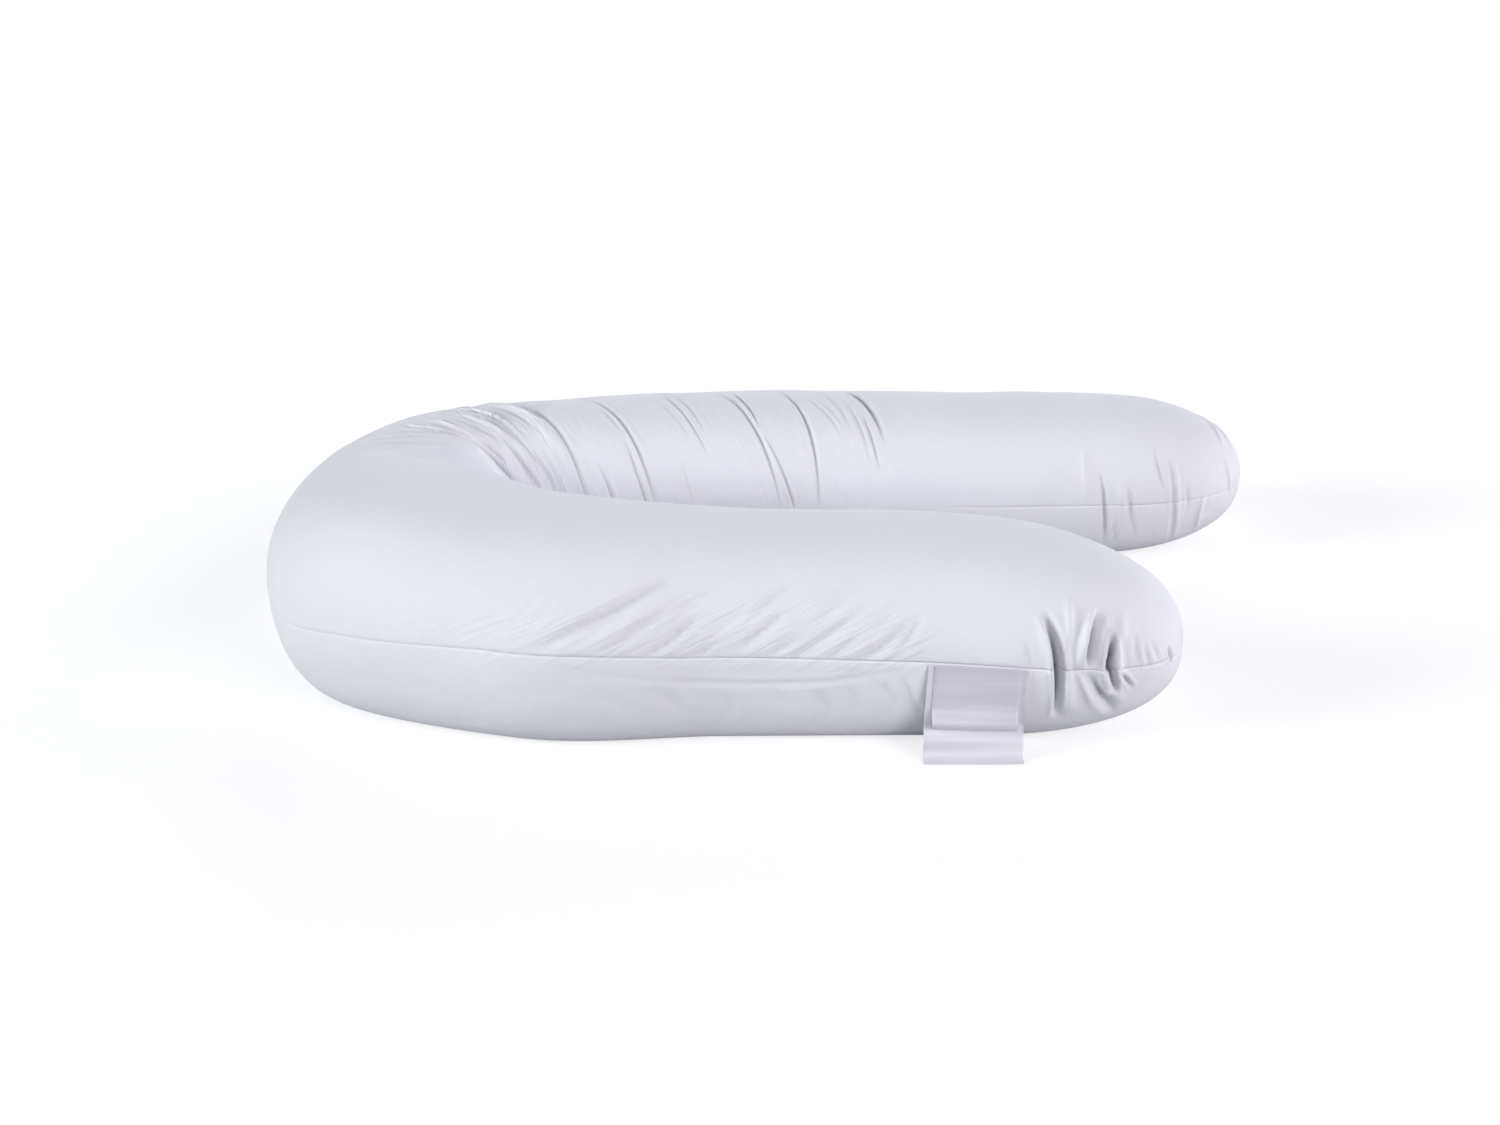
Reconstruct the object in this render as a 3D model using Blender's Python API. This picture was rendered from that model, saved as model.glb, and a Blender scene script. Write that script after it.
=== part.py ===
# Full length U-shaped body pillow, laid on a table, with two bare satin labels sewn into its seam.
# Metres, +Z up, table at z = 0. X runs along the arms, open end at +X. The camera stands on the -Y side.
# The cushion is one filled solid: sections stand along a crown line that runs from the near tip,
# round the bend at -X, to the far tip. Each section is closed by two sewn seams, outer and inner.
import bpy
import bmesh
import numpy as np

# middle of the box that cushion and labels fill, in the numbers of the table below
MIDDLE = np.array([-0.0006, -0.0093])

# one row a section, from the near tip round the bend to the far tip
SECTIONS = [
    # crown x, crown y, outer x, outer y, inner x, inner y, crown z, seam z
    [0.445, -0.310, 0.435, -0.445, 0.455, -0.175, 0.205, 0.095],
    [0.205, -0.290, 0.195, -0.428, 0.215, -0.150, 0.235, 0.115],
    [-0.105, -0.280, -0.115, -0.414, -0.095, -0.140, 0.248, 0.125],
    [-0.345, -0.260, -0.385, -0.407, -0.285, -0.095, 0.262, 0.128],
    [-0.515, -0.170, -0.640, -0.264, -0.325, -0.035, 0.268, 0.114],
    [-0.555, 0.000, -0.695, 0.000, -0.355, 0.035, 0.243, 0.110],
    [-0.495, 0.170, -0.592, 0.256, -0.400, 0.100, 0.237, 0.110],
    [-0.305, 0.240, -0.340, 0.375, -0.280, 0.105, 0.232, 0.110],
    [-0.015, 0.270, -0.025, 0.410, -0.005, 0.132, 0.230, 0.112],
    [0.335, 0.290, 0.330, 0.430, 0.340, 0.146, 0.216, 0.102],
    [0.695, 0.318, 0.690, 0.455, 0.700, 0.178, 0.202, 0.089],
]
NEAR_CAP = 0.27
FAR_CAP = 0.24
NEAR_ROUND = 2.5
FAR_ROUND = 2.3
CROWN_POWER = 2.1
FOOT = 0.62

# a hoop position counts quarter turns: 0 outer seam, 1 crown, 2 inner seam, 3 flat foot, 4 outer seam again.
# The foot lies flat between the two positions on either side of 3.
HOOP_OUTER_TOP = [0.0, 0.05, 0.13, 0.25, 0.38, 0.52, 0.67, 0.83]
HOOP_INNER_TOP = [1.0, 1.15, 1.30, 1.45, 1.60, 1.74, 1.87, 1.95]
HOOP_BELOW = [2.0, 2.05, 2.25, 2.48, 2.74, 2.9999, 3.0001, 3.26, 3.52, 3.75, 3.88, 3.95]
# a quarter of the way round an arm, and the steps that the smooth line takes between two rows
QUARTER = 0.19
STEPS = 40

# both seams pull the cloth in this deep, over this share of a quarter turn on each side
SEAM_DEPTH = 0.0024
SEAM_HALF = 0.045
SEAM_FADE = 0.05

# the folds of the far arm are drawn along it as they come down its inner side: station, metres drawn
DRAWN = [
    [1.30, 0.000],
    [1.46, 0.080],
    [1.55, 0.100],
    [1.74, 0.086],
    [1.84, 0.055],
    [1.95, 0.062],
    [2.15, 0.000],
]

# main folds that cross an arm, one row a fold
FOLDS = [
    # station, from hoop, to hoop, half width, depth
    [0.170, -0.46, 0.42, 0.0075, 0.0105],
    [0.128, 0.00, 0.40, 0.0060, 0.0060],
    [0.110, -0.30, 0.26, 0.0070, 0.0090],
    [1.352, 0.90, 1.75, 0.0160, 0.0060],
    [1.467, 0.92, 2.20, 0.0070, 0.0075],
    [1.550, 0.88, 2.15, 0.0065, 0.0060],
    [1.744, 0.88, 2.20, 0.0070, 0.0060],
    [1.840, 0.90, 2.20, 0.0065, 0.0070],
    [1.943, 0.86, 1.55, 0.0080, 0.0070],
    [2.312, 1.75, 2.55, 0.0065, 0.0075],
    [2.353, 1.88, 2.40, 0.0055, 0.0050],
    [2.420, 1.62, 2.60, 0.0070, 0.0080],
]

# the cloth stands up beside a fold by this share of its depth
SHOULDER = 0.38
FOLD_STEPS = (-3.1, -1.7, -0.85, 0.0, 0.85, 1.7, 3.1)

# folds fade out below this height
CLEAR_OF_TABLE = 0.03

# rings at each tip, then the spacing of rings where no fold asks for more
TIP_RINGS = 13
PLAIN_STEPS = [
    # from station, to station, step
    [0.290, 0.570, 0.028],
    [0.580, 0.780, 0.016],
    [0.800, 2.310, 0.030],
]
LEAST_STEP = 0.0033

# soft folds that lie aslant on the near arm, one row a fold
SLANTED = [
    # from station, hoop, to station, hoop, half width, depth
    [0.605, 0.50, 0.745, 0.08, 0.0150, 0.0060],
    [0.465, 0.46, 0.532, 0.16, 0.0150, 0.0035],
    [0.370, 0.30, 0.455, 0.04, 0.0150, 0.0035],
]

# labels, sewn in under the outer seam of the near arm between these two stations
LONG_LEFT = 0.3175
LONG_RIGHT = 0.2000
LONG_THICK = 0.0012
LONG_PATH = [
    # share of the drop to the table, distance out from the seam
    [0.010, -0.0010],
    [0.040, 0.0000],
    [0.080, 0.0010],
    [0.200, 0.0014],
    [0.450, 0.0018],
    [0.700, 0.0030],
    [0.820, 0.0055],
    [0.900, 0.0100],
    [0.950, 0.0150],
    [0.985, 0.0215],
    [1.000, 0.0295],
]
LOOP_LEFT = 0.3095
LOOP_RIGHT = 0.2085
LOOP_THICK = 0.0010
LOOP_PATH = [
    # front layer down, round the fold and up behind
    [0.010, 0.0025],
    [0.050, 0.0036],
    [0.120, 0.0050],
    [0.300, 0.0064],
    [0.500, 0.0081],
    [0.600, 0.0097],
    [0.655, 0.0106],
    [0.686, 0.0101],
    [0.702, 0.0082],
    [0.690, 0.0062],
    [0.655, 0.0052],
    [0.600, 0.0047],
    [0.500, 0.0041],
    [0.300, 0.0035],
    [0.120, 0.0030],
    [0.050, 0.0019],
    [0.010, 0.0008],
]
LABEL_LEAN = -0.0055
LABEL_LOW = 0.0012


def crown_line():
    """A smooth line through the section rows, with its length at each point."""
    rows = np.array(SECTIONS)
    step = np.linalg.norm(np.diff(rows[:, :2], axis=0), axis=1)
    slope = np.diff(rows, axis=0) / step[:, None]
    tangent = np.empty_like(rows)
    inside = slope[:-1] * step[1:, None] + slope[1:] * step[:-1, None]
    tangent[1:-1] = inside / (step[:-1] + step[1:])[:, None]
    tangent[0] = 1.5 * slope[0] - 0.5 * tangent[1]
    tangent[-1] = 1.5 * slope[-1] - 0.5 * tangent[-2]
    parts = []
    for i in range(len(rows) - 1):
        u = np.linspace(0, 1, STEPS, endpoint=False)[:, None]
        start = (2 * u**3 - 3 * u**2 + 1) * rows[i] + (u**3 - 2 * u**2 + u) * step[i] * tangent[i]
        end = (3 * u**2 - 2 * u**3) * rows[i + 1] + (u**3 - u**2) * step[i] * tangent[i + 1]
        parts.append(start + end)
    parts.append(rows[-1:])
    line = np.concatenate(parts)
    length = np.r_[0, np.cumsum(np.linalg.norm(np.diff(line[:, :2], axis=0), axis=1))]
    return line, length


LINE, ALONG = crown_line()
TOTAL = ALONG[-1]


def rounding(distance, cap, power):
    t = np.clip(distance / cap, 0, 1)
    return np.clip(1 - (1 - t)**power, 0, 1)**(1 / power)


def plain_surface(s, v):
    """Points of the unfolded cushion at stations s and hoop positions v."""
    col = [np.interp(s, ALONG, LINE[:, k]) for k in range(8)]
    full = np.minimum(rounding(s, NEAR_CAP, NEAR_ROUND), rounding(TOTAL - s, FAR_CAP, FAR_ROUND))
    v = np.mod(v, 4)
    across = np.cos(v * np.pi / 2)
    rise = np.sin(v * np.pi / 2)
    power = 2 / CROWN_POWER
    top_y = np.sign(across) * np.abs(across)**power
    foot_y = np.clip(np.sign(across) * (FOOT + (1 - FOOT) * np.abs(across)), -1, 1)
    y = np.where(v <= 2, top_y, foot_y)
    out = y >= 0
    side_x = np.where(out, col[2] - col[0], col[0] - col[4])
    side_y = np.where(out, col[3] - col[1], col[1] - col[5])
    px = col[0] + side_x * y * full
    py = col[1] + side_y * y * full
    up = (col[6] - col[7]) * np.abs(np.clip(rise, 0, 1))**power
    down = col[7] * np.clip(rise, -1, 0)
    pz = col[7] + full * np.where(v <= 2, up, down)
    return np.stack([px, py, pz], -1)


def drawn(v):
    """How far down its slant a fold has come at hoop position v, 0 to 1."""
    v = np.mod(v, 4)
    down = np.clip((v - 0.6) / 1.4, 0, 1)**1.2
    back = np.clip((3.6 - v) / 1.0, 0, 1)
    return down * back


def fold_depth(base, s, v):
    """Depth of the folds and of the two seams at mesh station base, true station s and hoop v."""
    turn = np.where(v > 2.9, v - 4, v)
    deep = np.zeros_like(s)
    for station, low, high, half, depth in FOLDS:
        hoop = turn if low < 0.6 else np.where(turn < 0, v, turn)
        middle = (low + high) / 2
        reach = (high - low) / 2
        fade = np.clip(1 - ((hoop - middle) / reach)**2, 0, 1)**0.5
        d = (base - station) / half
        deep += depth * fade * (np.exp(-d**2) - SHOULDER * np.exp(-((np.abs(d) - 1.7) / 0.7)**2))
    for s0, v0, s1, v1, half, depth in SLANTED:
        run = np.array([s1 - s0, (v1 - v0) * QUARTER])
        size = np.linalg.norm(run)
        run = run / size
        ds = s - s0
        dv = (turn - v0) * QUARTER
        t = (ds * run[0] + dv * run[1]) / size
        d = (dv * run[0] - ds * run[1]) / half
        fade = np.clip(1 - (2 * t - 1)**2, 0, 1)**0.5
        deep += depth * fade * (np.exp(-d**2) - SHOULDER * np.exp(-((d + 1.9) / 1.0)**2))
    tip = np.clip(np.minimum(s, TOTAL - s) / SEAM_FADE, 0, 1)
    for seam in (0.0, 2.0):
        d = np.abs(turn - seam) / SEAM_HALF
        deep += SEAM_DEPTH * tip * np.clip(1 - d, 0, 1)
    return deep


def surface(base, v):
    """The folded cushion: the plain one, pressed in along its own normal."""
    amount = np.interp(base, [r[0] for r in DRAWN], [r[1] for r in DRAWN])
    s = base + amount * drawn(v)
    point = plain_surface(s, v)
    h = 0.002
    along = plain_surface(np.clip(s + h, 0, TOTAL), v) - plain_surface(np.clip(s - h, 0, TOTAL), v)
    round_v = plain_surface(s, v + 0.02) - plain_surface(s, v - 0.02)
    normal = np.cross(round_v, along)
    size = np.linalg.norm(normal, axis=-1, keepdims=True)
    normal = normal / np.maximum(size, 1e-9)
    lifted = np.clip(point[..., 2:3] / CLEAR_OF_TABLE, 0, 1)
    point = point - normal * fold_depth(base, s, v)[..., None] * lifted
    point[..., :2] -= MIDDLE
    return point


def mesh_stations():
    """Stations close together at each fold and at the tips, wide apart between them."""
    tip = (1 - np.cos(np.pi / 2 * np.linspace(0, 1, TIP_RINGS)))[1:]
    plain = list(NEAR_CAP * tip) + list(TOTAL - FAR_CAP * tip)
    for start, end, step in PLAIN_STEPS:
        plain += list(np.arange(start, end, step))
    wanted = []
    for row in FOLDS:
        for k in FOLD_STEPS:
            wanted.append((abs(k), row[0] + k * row[3]))
    folds = []
    for rank, value in sorted(wanted):
        if all(abs(value - other) > LEAST_STEP for other in folds):
            folds.append(value)
    plain = [a for a in plain if all(abs(a - b) > 2 * LEAST_STEP for b in folds)]
    return np.array(sorted(plain + folds))


def add_object(name, points, faces, colour, roughness):
    mesh = bpy.data.meshes.new(name)
    mesh.from_pydata([tuple(p) for p in points], [], faces)
    mesh.update()
    work = bmesh.new()
    work.from_mesh(mesh)
    bmesh.ops.recalc_face_normals(work, faces=work.faces)
    work.to_mesh(mesh)
    work.free()
    body = bpy.data.objects.new(name, mesh)
    bpy.context.scene.collection.objects.link(body)
    look = bpy.data.materials.new(name + "_cloth")
    look.use_nodes = True
    shader = look.node_tree.nodes["Principled BSDF"]
    shader.inputs["Base Color"].default_value = (colour[0], colour[1], colour[2], 1)
    shader.inputs["Roughness"].default_value = roughness
    mesh.materials.append(look)
    return body


def build_cushion():
    stations = mesh_stations()
    hoops = np.array(HOOP_OUTER_TOP + HOOP_INNER_TOP + HOOP_BELOW)
    base, v = np.meshgrid(stations, hoops, indexing="ij")
    grid = surface(base, v)
    n, m = grid.shape[:2]
    points = list(grid.reshape(-1, 3))
    faces = []
    for i in range(n - 1):
        for j in range(m):
            k = (j + 1) % m
            faces.append((i * m + j, i * m + k, (i + 1) * m + k, (i + 1) * m + j))
    tips = plain_surface(np.array([0.0, TOTAL]), np.array([0.0, 0.0]))
    tips[:, :2] -= MIDDLE
    points += list(tips)
    near, far = n * m, n * m + 1
    for j in range(m):
        k = (j + 1) % m
        faces.append((near, j, k))
        faces.append((far, (n - 1) * m + k, (n - 1) * m + j))
    print("cushion stations", n, "hoops", m, "triangles", 2 * (n - 1) * m + 2 * m)
    return add_object("pillow", points, faces, (0.78, 0.79, 0.83), 0.85)


def build_label(name, left, right, thick, path, columns=5):
    """A strip that hangs from the seam along path, with thickness, closed all round."""
    stations = np.linspace(left, right, columns)
    seam = plain_surface(stations, np.zeros(columns))
    path = np.array(path)
    rings = []
    for x, y, z in seam:
        line = np.stack([path[:, 1], LABEL_LOW + (z - LABEL_LOW) * (1 - path[:, 0])], -1)
        heading = np.gradient(line, axis=0)
        heading /= np.linalg.norm(heading, axis=1)[:, None]
        side = np.stack([-heading[:, 1], heading[:, 0]], -1) * thick / 2
        outline = np.concatenate([line + side, (line - side)[::-1]])
        share = np.concatenate([path[:, 0], path[::-1, 0]])
        ring = np.stack([x + LABEL_LEAN * share, y - outline[:, 0], outline[:, 1]], -1)
        ring[:, :2] -= MIDDLE
        rings.append(ring)
    m = len(rings[0])
    half = m // 2
    faces = []
    for i in range(columns - 1):
        for j in range(m):
            k = (j + 1) % m
            faces.append((i * m + j, i * m + k, (i + 1) * m + k, (i + 1) * m + j))
    for start in (0, (columns - 1) * m):
        for j in range(half - 1):
            faces.append((start + j, start + j + 1, start + m - 2 - j, start + m - 1 - j))
    return add_object(name, np.concatenate(rings), faces, (0.80, 0.79, 0.86), 0.35)


def main():
    for old in list(bpy.data.objects):
        bpy.data.objects.remove(old, do_unlink=True)
    build_cushion()
    build_label("care_label", LONG_LEFT, LONG_RIGHT, LONG_THICK, LONG_PATH)
    build_label("loop_label", LOOP_LEFT, LOOP_RIGHT, LOOP_THICK, LOOP_PATH)
    for body in bpy.data.objects:
        box = np.array([tuple(p.co) for p in body.data.vertices])
        print(body.name, "low", np.round(box.min(0), 4), "high", np.round(box.max(0), 4))


main()
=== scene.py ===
# %% [markdown]
# A full length U-shaped body pillow, dressed in Blender
#
# The real object is one long stuffed case of white cotton, laid on a table in a U. Two bare satin
# labels hang from its seam. The CAD model gives its size, its sections and its main folds.
# This lesson makes what the eye reads as cloth: the fine creases, the seams, the weave and the satin.
# All numbers are metres in the frame of the CAD model, with the table at z = 0.

# %% Tools and the CAD frame
import math
import bpy
import numpy as np
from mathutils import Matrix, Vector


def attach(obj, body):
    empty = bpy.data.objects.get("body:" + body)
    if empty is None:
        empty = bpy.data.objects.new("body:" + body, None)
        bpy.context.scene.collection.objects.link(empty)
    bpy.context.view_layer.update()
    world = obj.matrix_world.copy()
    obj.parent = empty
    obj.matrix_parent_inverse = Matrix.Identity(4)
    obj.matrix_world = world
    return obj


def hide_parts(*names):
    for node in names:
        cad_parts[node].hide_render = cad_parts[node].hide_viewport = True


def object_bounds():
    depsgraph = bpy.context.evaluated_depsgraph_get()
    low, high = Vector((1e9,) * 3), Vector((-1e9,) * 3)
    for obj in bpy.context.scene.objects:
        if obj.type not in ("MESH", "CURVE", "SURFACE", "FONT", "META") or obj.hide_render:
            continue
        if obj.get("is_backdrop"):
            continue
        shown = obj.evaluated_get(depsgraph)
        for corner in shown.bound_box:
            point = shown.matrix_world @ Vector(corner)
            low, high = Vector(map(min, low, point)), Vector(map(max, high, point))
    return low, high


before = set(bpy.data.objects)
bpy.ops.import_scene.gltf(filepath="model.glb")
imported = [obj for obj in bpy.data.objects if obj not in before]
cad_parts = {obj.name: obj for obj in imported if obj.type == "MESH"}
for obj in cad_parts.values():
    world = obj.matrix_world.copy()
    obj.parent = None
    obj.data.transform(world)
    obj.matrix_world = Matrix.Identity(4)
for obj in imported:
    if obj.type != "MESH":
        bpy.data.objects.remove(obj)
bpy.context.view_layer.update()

print("nodes", sorted(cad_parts))

# %% [markdown]
# The camera
#
# The photograph looks along +Y, a little to the right and about 22 degrees down, from 2.4 m away,
# through a lens that is slightly longer than normal. Setting the camera first means that every
# later step can be judged in the right view. Photographs of goods are lit and exposed so that white
# stays white, so the plain "Standard" view transform is used, which keeps tones as they are set.

# %% Camera
LENS = 45.6
CAMERA_PLACE = (-0.1834, -2.3913, 1.0342)
CAMERA_TILT = 68.26
CAMERA_TURN = -2.82


def put_in_scene(name, data):
    """A new object with some data, linked into the scene."""
    made = bpy.data.objects.new(name, data)
    bpy.context.scene.collection.objects.link(made)
    return made


camera_data = bpy.data.cameras.new("camera")
camera_data.sensor_fit = "HORIZONTAL"
camera_data.sensor_width = 36.0
camera_data.lens = LENS
camera_data.clip_end = 60.0
camera = put_in_scene("camera", camera_data)
camera.location = CAMERA_PLACE
camera.rotation_euler = (math.radians(CAMERA_TILT), 0.0, math.radians(CAMERA_TURN))
bpy.context.scene.camera = camera
bpy.context.scene.view_settings.view_transform = "Standard"
print("camera looks down", round(90 - CAMERA_TILT, 1), "degrees with a lens of", LENS, "mm")

# %% [markdown]
# The shape of the stuffed case
#
# A maker sews two U-shaped panels together and fills them. The filling pushes the cloth into a
# crown, and the two seams, outer and inner, stay pulled in. The same can be drawn as sections along a
# line: each row of the table is one section with its crown, its outer seam and its inner seam.
# A smooth line through the rows gives every section between them. A table of sections was chosen
# over a cloth simulation because each fold can then be put exactly where the photograph shows it.

# %% Sections of the case
SECTIONS = np.array([
    # crown x, crown y, outer x, outer y, inner x, inner y, crown z, seam z
    [0.445, -0.310, 0.435, -0.445, 0.455, -0.175, 0.205, 0.095],
    [0.205, -0.290, 0.195, -0.428, 0.215, -0.150, 0.235, 0.115],
    [-0.105, -0.280, -0.115, -0.414, -0.095, -0.140, 0.248, 0.125],
    [-0.345, -0.260, -0.385, -0.407, -0.285, -0.095, 0.262, 0.128],
    [-0.515, -0.170, -0.640, -0.264, -0.325, -0.035, 0.268, 0.114],
    [-0.555, 0.000, -0.695, 0.000, -0.355, 0.035, 0.243, 0.110],
    [-0.495, 0.170, -0.592, 0.256, -0.400, 0.100, 0.237, 0.110],
    [-0.305, 0.240, -0.340, 0.375, -0.280, 0.105, 0.232, 0.110],
    [-0.015, 0.270, -0.025, 0.410, -0.005, 0.132, 0.230, 0.112],
    [0.335, 0.290, 0.330, 0.430, 0.340, 0.146, 0.216, 0.102],
    [0.695, 0.318, 0.690, 0.455, 0.700, 0.178, 0.202, 0.089],
])
STEPS = 40


def crown_line(rows):
    """A smooth line through the section rows, with its length at each point."""
    step = np.linalg.norm(np.diff(rows[:, :2], axis=0), axis=1)
    slope = np.diff(rows, axis=0) / step[:, None]
    tangent = np.empty_like(rows)
    inside = slope[:-1] * step[1:, None] + slope[1:] * step[:-1, None]
    tangent[1:-1] = inside / (step[:-1] + step[1:])[:, None]
    tangent[0] = 1.5 * slope[0] - 0.5 * tangent[1]
    tangent[-1] = 1.5 * slope[-1] - 0.5 * tangent[-2]
    parts = []
    for i in range(len(rows) - 1):
        u = np.linspace(0, 1, STEPS, endpoint=False)[:, None]
        start = (2 * u**3 - 3 * u**2 + 1) * rows[i] + (u**3 - 2 * u**2 + u) * step[i] * tangent[i]
        end = (3 * u**2 - 2 * u**3) * rows[i + 1] + (u**3 - u**2) * step[i] * tangent[i + 1]
        parts.append(start + end)
    parts.append(rows[-1:])
    line = np.concatenate(parts)
    length = np.r_[0, np.cumsum(np.linalg.norm(np.diff(line[:, :2], axis=0), axis=1))]
    return line, length


LINE, ALONG = crown_line(SECTIONS)
TOTAL = ALONG[-1]
print("length along the crown", round(TOTAL, 3), "m")

# %% [markdown]
# From a station and a turn to a point
#
# Two numbers name a place on the case. The station is the distance along the crown line from the
# near tip. The hoop position counts quarter turns round the arm: 0 is the outer seam, 1 the crown,
# 2 the inner seam and 3 the flat foot. The tips are rounded by letting each section shrink to
# nothing, quickly at the very end, as a stuffed corner does. A cap is the length that this takes.

# %% Surface of the plain case
MIDDLE = np.array([-0.0006, -0.0093])
NEAR_CAP = 0.27
FAR_CAP = 0.24
NEAR_ROUND = 2.5
FAR_ROUND = 2.3
CROWN_POWER = 2.1
FLAT_FOOT = 0.62
STATION_STEP = 0.002
HOOP_STEP = 0.02


def rounding(distance, cap, power):
    """Share of the full section at a distance from the tip."""
    t = np.clip(distance / cap, 0, 1)
    return np.clip(1 - (1 - t)**power, 0, 1)**(1 / power)


def plain_surface(s, v):
    """Points of the case without folds at stations s and hoop positions v."""
    col = [np.interp(s, ALONG, LINE[:, k]) for k in range(8)]
    full = np.minimum(rounding(s, NEAR_CAP, NEAR_ROUND), rounding(TOTAL - s, FAR_CAP, FAR_ROUND))
    v = np.mod(v, 4)
    across = np.cos(v * np.pi / 2)
    rise = np.sin(v * np.pi / 2)
    power = 2 / CROWN_POWER
    top_y = np.sign(across) * np.abs(across)**power
    foot_y = np.clip(np.sign(across) * (FLAT_FOOT + (1 - FLAT_FOOT) * np.abs(across)), -1, 1)
    y = np.where(v <= 2, top_y, foot_y)
    out = y >= 0
    px = col[0] + np.where(out, col[2] - col[0], col[0] - col[4]) * y * full
    py = col[1] + np.where(out, col[3] - col[1], col[1] - col[5]) * y * full
    up = (col[6] - col[7]) * np.abs(np.clip(rise, 0, 1))**power
    down = col[7] * np.clip(rise, -1, 0)
    pz = col[7] + full * np.where(v <= 2, up, down)
    return np.stack([px - MIDDLE[0], py - MIDDLE[1], pz], -1)


def outward(s, v):
    """Unit normals of the plain case, pointing out of the filling."""
    ahead = plain_surface(np.clip(s + STATION_STEP, 0, TOTAL), v)
    behind = plain_surface(np.clip(s - STATION_STEP, 0, TOTAL), v)
    along = ahead - behind
    turn = plain_surface(s, v + HOOP_STEP) - plain_surface(s, v - HOOP_STEP)
    normal = np.cross(turn, along)
    return normal / np.maximum(np.linalg.norm(normal, axis=-1, keepdims=True), 1e-9)


print("near seam at the labels", np.round(plain_surface(np.array([0.26]), np.array([0.0])), 3))

# %% [markdown]
# The creases, written down before they are pressed in
#
# A crease in stuffed cotton is a narrow trough between two stretches of cloth that bulge. Its two
# walls differ: the one that was pushed is steep and the other one is gentle. So each row of the
# tables below is a curve through three places on the case, each a station and a hoop position. Then
# come the reach of its right and its left wall in millimetres, as seen from outside by someone who
# follows the curve, and its depth in millimetres. A negative depth makes a ridge of cloth that stands
# up. Some rows go on with how much shade is painted into the bottom of the crease, and where they are
# deepest if not halfway.
#
# The near tip comes first. Where the seam runs round the narrow tip, both panels have more cloth
# than the seam line has length, so the cloth bunches into deep puckers that cross the seam. One long
# pucker crosses it nearly upright. Beside it a broad ridge stands up, and two more puckers meet the
# seam close together, with a thin rim of cloth looped round the lower end of the second.

# %% Puckers and ridges of the near tip
NEAR_TIP = [
    # first place, middle, last place, right wall, left wall, depth, painted shade, deepest at
    [0.186, 0.33, 0.168, 0.00, 0.165, -0.47, 3, 5.5, 17, 0.85],
    [0.194, 0.32, 0.180, 0.10, 0.176, -0.08, 4, 3, -3],
    [0.155, 0.46, 0.155, 0.29, 0.156, 0.14, 4.5, 4.5, -4.5, 0, 0.55],
    [0.124, 0.42, 0.137, 0.22, 0.143, -0.03, 6, 6, -8, 0, 0.60],
    [0.121, 0.38, 0.129, 0.18, 0.130, -0.01, 2.6, 6, 14, 0.74, 0.60],
    [0.110, 0.30, 0.114, 0.12, 0.116, -0.03, 6, 5, 6, 0.34, 0.65],
    [0.101, 0.25, 0.102, 0.08, 0.102, -0.07, 6, 2.6, 14, 0.95, 0.78],
    [0.103, 0.05, 0.098, -0.12, 0.092, -0.28, 4.5, 2.6, 12, 0.80, 0.32],
    [0.120, -0.08, 0.103, -0.27, 0.088, -0.15, 2.2, 2.2, -4.2],
    [0.098, 0.22, 0.093, 0.02, 0.084, -0.22, 3.4, 3.4, -4.5],
    [0.143, -0.05, 0.133, -0.18, 0.122, -0.36, 2.2, 2.6, -3.2, 0, 0.35],
    [0.132, -0.04, 0.112, -0.27, 0.092, -0.52, 6, 7, 7, 0.36, 0.52],
    [0.152, -0.10, 0.148, -0.28, 0.142, -0.45, 7, 7, -2.5],
    [0.092, -0.05, 0.083, -0.14, 0.073, -0.26, 2.4, 1.8, 4, 0.60],
    [0.087, -0.03, 0.078, -0.12, 0.068, -0.24, 2, 2, -1.4],
    [0.031, 0.14, 0.026, 0.01, 0.024, -0.11, 2.6, 2, 5, 0.50],
    [0.047, 0.62, 0.035, 0.53, 0.023, 0.45, 1.8, 3.2, 1.6],
    [0.091, 0.46, 0.091, 0.30, 0.091, 0.15, 6, 6, -2.6],
    [0.206, 0.15, 0.201, 0.07, 0.197, -0.01, 3, 2.4, 1.6, 0.12, 0.60],
    [0.074, 0.26, 0.073, 0.12, 0.070, 0.01, 4, 3, 1.7, 0.07, 0.60],
    [0.064, 0.16, 0.058, 0.06, 0.055, -0.06, 3.5, 2.6, 1.3, 0.10, 0.60],
    [0.056, 0.20, 0.048, 0.10, 0.043, 0.00, 3.5, 2.6, 1.2, 0.07, 0.60],
]
print("near tip", len(NEAR_TIP), "creases")

# %% [markdown]
# The folds of the far arm
#
# Between the bend and the middle of the far arm the upper panel was cut longer than its seam. It is
# gathered there, and long sharp folds come down the inner side, slanting away from the bend. Most
# start as a soft line on the crown and end in the inner seam. Fine short ones fill in between. The
# last fold is the deepest, and after it the cloth is smooth.

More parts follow.
